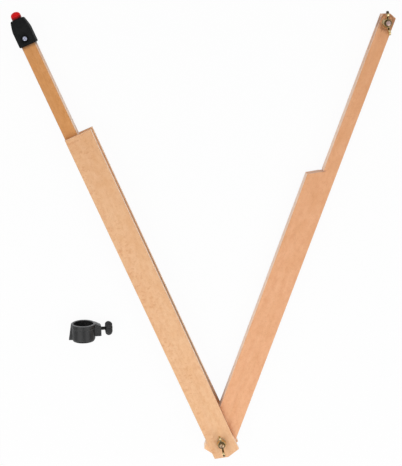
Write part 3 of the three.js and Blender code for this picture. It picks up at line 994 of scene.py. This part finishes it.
cut(cap, cap_frame, [
    (IN_PLACE, block(pocket_width, pocket_depth, -CUTTER_REACH, CAP_LENGTH - CAP_FLOOR)),
    (IN_PLACE, cylinder(TIP_HOLE_RADIUS, *tip_hole)),
    (to_screw, cylinder(SCREW_SEAT_RADIUS, front - SCREW_SEAT_DEPTH, beyond)),
    (to_screw, cylinder(SCREW_HOLE_RADIUS, front - CUTTER_REACH, beyond)),
])
stand_for(cap, "foot_cap", "pivot_leg")

# %% [markdown]
# ## The cap's screw
#
# A pan head is a low dome with a steep rim. Its cross recess is cut by two thin bars that cross,
# each narrower at the bottom, as the driver's tip is.

# %% Cap screw
SCREW_HEAD_RADIUS = 2.4
SCREW_HEAD_HEIGHT = 1.5
SCREW_LENGTH = 9
SCREW_CORE_RADIUS = 0.85
SCREW_THREAD_RADIUS = 1.2
SCREW_THREAD_DEPTH = 0.3
SCREW_THREAD_START = 1.4
SCREW_PITCH = 0.9
RECESS_LENGTH = 2.8
RECESS_WIDTH = 0.7
RECESS_DEPTH = 0.9
RECESS_FOOT_SHARE = 0.5
RECESS_TURN_DEGREES = 20

top = SCREW_LENGTH + SCREW_HEAD_HEIGHT
bm = bmesh.new()
turned(bm, [
    (0, 0), (0.35, 0.3), (SCREW_CORE_RADIUS, 2.2), (SCREW_CORE_RADIUS, SCREW_LENGTH),
    (SCREW_HEAD_RADIUS - 0.1, SCREW_LENGTH), (SCREW_HEAD_RADIUS, SCREW_LENGTH + 0.1),
    (SCREW_HEAD_RADIUS, SCREW_LENGTH + 0.5),
    (SCREW_HEAD_RADIUS - 0.15, SCREW_LENGTH + 0.85), (SCREW_HEAD_RADIUS - 0.5, SCREW_LENGTH + 1.17),
    (SCREW_HEAD_RADIUS - 1.1, top - 0.1), (SCREW_HEAD_RADIUS - 1.8, top - 0.02), (0, top),
], BOLT_SIDES)
thread(
    bm, SCREW_THREAD_RADIUS, SCREW_PITCH, SCREW_THREAD_DEPTH, SCREW_THREAD_START,
    SCREW_LENGTH - 0.3, steps=20,
)
screw_frame = over("cap_screw", PIVOT_LEAN)
screw = piece("pan_head_screw", bm, screw_frame, bright_zinc)
bars = []
for number in range(2):
    bar = block(RECESS_LENGTH, RECESS_WIDTH, top - RECESS_DEPTH, top + 1)
    for vert in bar.verts:
        if vert.co.z < top:
            vert.co.x *= RECESS_FOOT_SHARE
    turn = math.radians(RECESS_TURN_DEGREES + 90 * number)
    bars.append((Matrix.Rotation(turn, 4, "Z"), bar))
cut(screw, screw_frame, bars)
stand_for(screw, "cap_screw", "pivot_leg")

# %% [markdown]
# ## The red tip
#
# The tip is soft, so that the leg stands on the board without slipping. It has a straight rim, a
# low dome and a stem that fills the hole in the cap. One turned profile makes it all.

# %% Red tip
TIP_RADIUS = 4.97
TIP_RIM = 3.0
TIP_HEIGHT = 6.9
TIP_STEM_RADIUS = 3.0
TIP_STEM = 6.0
TIP_GAP = 0.3
TIP_SIDES = 72

dome_height = TIP_HEIGHT - TIP_RIM
dome = [
    (TIP_RADIUS * math.cos(angle) ** 0.95, TIP_RIM + dome_height * math.sin(angle))
    for angle in (math.radians(6 * i) for i in range(1, 15))
]
bm = bmesh.new()
turned(bm, [
    (0, -TIP_STEM), (TIP_STEM_RADIUS - 0.4, -TIP_STEM), (TIP_STEM_RADIUS, -TIP_STEM + 0.4),
    (TIP_STEM_RADIUS, 0.0), (TIP_RADIUS - 0.4, 0.0), *rounded((TIP_RADIUS - 0.4, 0.4), 0.4, -90, 0),
    (TIP_RADIUS, TIP_RIM), *dome, (0, TIP_HEIGHT),
], TIP_SIDES)
tip = piece("rubber_tip", bm, along_stick(cap_start + (CAP_LENGTH + TIP_GAP) * MM), tip_rubber, 50)
stand_for(tip, "foot_tip", "pivot_leg")

# %% [markdown]
# ## The marker clamp
#
# The clamp lies on its side. Its ring has a collar round the top rim, a boss for the thumb screw
# and, nearly across from it, a thin fin that widens towards the bottom and slides into the leg's
# split. The frame gives the line of the screw, so the clamp's own axes come from that joint: x
# along the screw and z along the ring. As with the wing nuts, simple shells are melted together,
# which gives the soft inner corners of a moulding.

# %% Where the clamp is
RING_RADIUS = 12.4
RING_WALL = 1.9
RING_HEIGHT = 18.8
COLLAR_HEIGHT = 4.8
COLLAR_PROUD = 0.3
STUD_DROP = 6.9

inward = Vector(joints["thumb_screw_turn"]["axis"])
clamp_tilt = math.atan2(inward.z, -inward.x)
clamp_frame = (
    Matrix.Translation(joints["thumb_screw_turn"]["pos_m"])
    @ Matrix.Rotation(clamp_tilt, 4, "Y")
    @ Matrix.Rotation(-math.pi / 2, 4, "X")
    @ TO_METRES
    @ Matrix.Translation((0, 0, STUD_DROP - RING_HEIGHT))
)
print("the clamp's screw dips by", round(math.degrees(clamp_tilt), 1), "degrees")

# %% Clamp body
BOSS_REACH = 6.2
BOSS_WIDTH = 9
BOSS_HEIGHT = 14.2
BOSS_SLOPE = 3.1
FIN_REACH = 3.4
FIN_TOP_REACH = 0.6
FIN_THICKNESS = 2.4
FIN_TURN = math.radians(-13)
FOOT_CHAMFER = 2.1
STUD_BORE = 2.3
RING_SIDES = 128
CLAMP_VOXEL = 0.24
CLAMP_SOFTENING = 3

inner = RING_RADIUS - RING_WALL
outer = RING_RADIUS + COLLAR_PROUD
collar = RING_HEIGHT - COLLAR_HEIGHT
boss_end = RING_RADIUS + BOSS_REACH
bm = bmesh.new()
turned(bm, [
    (inner, 0.4), (inner + 0.4, 0), (RING_RADIUS - 1.1, 0), (RING_RADIUS, FOOT_CHAMFER),
    (RING_RADIUS, collar - 0.5), (RING_RADIUS - 0.25, collar - 0.4), (RING_RADIUS - 0.25, collar),
    (outer, collar + 0.2), (outer, RING_HEIGHT - 0.5), (outer - 0.5, RING_HEIGHT),
    (inner + 0.5, RING_HEIGHT), (inner, RING_HEIGHT - 0.5),
], RING_SIDES, closed=True)
add_shell(bm, slab([
    (inner + 0.8, RING_HEIGHT - BOSS_HEIGHT), (boss_end, RING_HEIGHT - BOSS_HEIGHT),
    (boss_end, RING_HEIGHT - BOSS_SLOPE), (RING_RADIUS, RING_HEIGHT), (inner + 0.8, RING_HEIGHT),
], BOSS_WIDTH, 0.7, 4))
add_shell(bm, slab([
    (-RING_RADIUS - FIN_REACH, 0), (-RING_RADIUS + 1, 0), (-RING_RADIUS + 1, RING_HEIGHT),
    (-RING_RADIUS - FIN_TOP_REACH, RING_HEIGHT),
], FIN_THICKNESS, 0.5), FIN_TURN)
clamp = piece("clamp_ring", bm, clamp_frame, clamp_plastic)
melt(clamp, CLAMP_VOXEL, CLAMP_SOFTENING)
along_screw = (
    Matrix.Translation((0, 0, RING_HEIGHT - STUD_DROP)) @ Matrix.Rotation(math.pi / 2, 4, "Y")
)
cut(clamp, clamp_frame, [
    (along_screw, cylinder(STUD_BORE, inner / 2, boss_end + CUTTER_REACH)),
])
stand_for(clamp, "clamp_body", "marker_clamp")

# %% [markdown]
# ## The thumb screw
#
# A blackened stud is moulded into a knob with seven lobes. The stud's end inside the ring is worn
# bright by the pens that it has held. The knob starts as a circle of vertices: their distance
# from the centre follows a cosine, which draws the lobes. It is extruded, cut into slices and
# drawn in towards both faces, so that it is fullest in the middle. A shallow dimple marks the
# face where the mould was filled.

# %% Stud
STUD_RADIUS = 2
STUD_SHOWN = 4.6
STUD_PROUD = 2.6
STUD_SOCKET = 4
STUD_PITCH = 0.7
STUD_THREAD_DEPTH = 0.38
STUD_SIDES = 40

knob_start = boss_end + STUD_SHOWN
stud_start = inner - STUD_PROUD
stud_end = knob_start + STUD_SOCKET
core = STUD_RADIUS - STUD_THREAD_DEPTH
stud_frame = clamp_frame @ along_screw
bm = bmesh.new()
turned(bm, [
    (0, stud_start), (core - 0.5, stud_start), (core, stud_start + 0.5), (core, stud_end),
    (0, stud_end),
], STUD_SIDES)
thread(bm, STUD_RADIUS, STUD_PITCH, STUD_THREAD_DEPTH, stud_start + 0.5, stud_end - 0.2)
stud = piece("threaded_stud", bm, stud_frame, black_steel)
stud.data.materials.append(worn_steel)
to_stud = stud_frame.inverted()
for face in stud.data.polygons:
    face.material_index = int((to_stud @ face.center).z < inner - 0.3)
stand_for(stud, "clamp_stud", "clamp_stud")

# %% Knob
KNOB_RADIUS = 7.75
KNOB_THICKNESS = 7.2
KNOB_LOBES = 7
KNOB_LOBE_DEPTH = 1.3
KNOB_FACE_SHARE = 0.7
KNOB_SLICES = 10
KNOB_EDGE_ROUND = 0.5
POINTS_PER_LOBE = 16
DIMPLE_INSET = 1.9
DIMPLE_SLOPE = 0.5
DIMPLE_DEPTH = 0.6

bm = bmesh.new()
bmesh.ops.create_circle(
    bm, cap_ends=True, segments=KNOB_LOBES * POINTS_PER_LOBE, radius=KNOB_RADIUS,
)
for vert in bm.verts:
    lobe = (1 - math.cos(KNOB_LOBES * math.atan2(-vert.co.x, vert.co.y))) / 2
    vert.co *= 1 - KNOB_LOBE_DEPTH / KNOB_RADIUS * lobe
grown = bmesh.ops.extrude_face_region(bm, geom=bm.faces[:], use_keep_orig=True)
far_verts = [part for part in grown["geom"] if isinstance(part, bmesh.types.BMVert)]
bmesh.ops.translate(bm, verts=far_verts, vec=(0, 0, KNOB_THICKNESS))
for number in range(1, KNOB_SLICES):
    level = KNOB_THICKNESS * (1 - math.cos(math.pi * number / KNOB_SLICES)) / 2
    every_part = bm.verts[:] + bm.edges[:] + bm.faces[:]
    bmesh.ops.bisect_plane(bm, geom=every_part, plane_co=(0, 0, level), plane_no=(0, 0, 1))
for vert in bm.verts:
    share = abs(2 * vert.co.z / KNOB_THICKNESS - 1)
    scale = 1 - (1 - KNOB_FACE_SHARE) * share ** 2.4
    vert.co.x *= scale
    vert.co.y *= scale
bmesh.ops.recalc_face_normals(bm, faces=bm.faces)
bm.normal_update()
for direction in (1, -1):
    disc = max(bm.faces, key=lambda face: direction * face.calc_center_median().z)
    rim = list(disc.edges)
    bmesh.ops.bevel(
        bm, geom=rim, offset=KNOB_EDGE_ROUND, affect="EDGES", segments=3, profile=0.5,
        material=-1,
    )
disc = max(bm.faces, key=lambda face: face.calc_center_median().z)
bmesh.ops.inset_individual(bm, faces=[disc], thickness=DIMPLE_INSET, depth=0)
bmesh.ops.inset_individual(bm, faces=[disc], thickness=DIMPLE_SLOPE, depth=-DIMPLE_DEPTH)
bmesh.ops.translate(bm, verts=bm.verts, vec=(0, 0, knob_start))
knob = piece("lobed_knob", bm, stud_frame, knob_plastic, 50)
socket = cylinder(STUD_BORE, knob_start - CUTTER_REACH, knob_start + STUD_SOCKET + 0.3)
cut(knob, stud_frame, [(IN_PLACE, socket)])
stand_for(knob, "clamp_knob", "clamp_knob")

# %% [markdown]
# ## Floor and light
#
# The photograph is a cut-out on white, lit as if in a white tent: even the sides of the boards
# are bright. The floor and the background look white to the camera, and the Light Path node
# tells camera rays from the others, so the white costs no light. The tent is darker near the
# horizon, behind the hinge and along its ribs. Wood blurs the ribs away, but polished metal mirrors
# them, and without something dark to mirror it would look like white paint. Two lamps near the
# hinge make the legs' far ends a little darker, as they are in the photograph. The wood's colour
# is painted darker towards the far ends as well, as painted shade, and its sides paler, as painted
# light.

# %% Floor
FLOOR_SIZE = 6
FLOOR_LEVEL = -0.0003

bm = bmesh.new()
bmesh.ops.create_grid(bm, x_segments=1, y_segments=1, size=FLOOR_SIZE)
bmesh.ops.translate(bm, verts=bm.verts, vec=(0, 0, FLOOR_LEVEL))
paper = material("floor_paper", Roughness=0.9, Base_Color=(0.8, 0.8, 0.8, 1))
floor = piece("floor", bm, IN_PLACE, paper.holder)
seen = paper.node("ShaderNodeLightPath", output="Is Camera Ray")
mirrored = paper.node("ShaderNodeLightPath", output="Is Glossy Ray")
glow = paper.node("ShaderNodeEmission", {}, {"Color": (1, 1, 1, 1), "Strength": 1}, "Emission")
lit = Term(paper, paper.shader.outputs[0])
mixed = paper.node("ShaderNodeMixShader", {}, {0: seen * 0.95 + mirrored * 0.2, 1: lit, 2: glow})
paper.tree.links.new(mixed.socket, paper.tree.nodes["Material Output"].inputs["Surface"])
print("the floor is", round(floor.dimensions.x), "m wide")

# %% Sky and lamps
LAMP_TARGET = (0, 0.05, 0)
LAMP_WIDTH = 0.8
LAMP_POWER = 2.4

world = bpy.data.worlds.new("tent")
bpy.context.scene.world = world
tent = Finish(world)
direction = tent.node("ShaderNodeTexCoord", output="Generated")
height = tent.part(direction, "Z")
behind = tent.part(direction, "Y").between(-0.5, -0.15)
ribs = abs((tent.part(direction, "X") * 3 + tent.part(direction, "Y") * 2).fraction() - 0.5)
brightness = (height.between(0.0, 0.35) * 0.4 + 0.6) * (behind * 0.55 + 0.45)
brightness = brightness * (1 - ribs.between(0.28, 0.38) * 0.85) * 1.25
seen = tent.node("ShaderNodeLightPath", output="Is Camera Ray")
tent.shade(
    Color=tent.blend(seen, (0.97, 0.985, 1, 1), (1, 1, 1, 1)),
    Strength=seen + (1 - seen) * brightness * 0.92,
)


def lamp(name, place):
    """A round lamp that shines on the hinge."""
    data = bpy.data.lights.new(name, "AREA")
    data.shape = "DISK"
    data.size = LAMP_WIDTH
    data.energy = LAMP_POWER
    made = bpy.data.objects.new(name, data)
    bpy.context.scene.collection.objects.link(made)
    aim = (Vector(LAMP_TARGET) - Vector(place)).to_track_quat("-Z", "Y")
    made.matrix_world = Matrix.Translation(place) @ aim.to_matrix().to_4x4()


lamp("right_lamp", (0.5, -0.2, 0.7))
lamp("left_lamp", (-0.5, -0.2, 0.7))
bpy.context.scene.view_settings.view_transform = "Standard"
print("lamps", [light.name for light in bpy.data.lights])
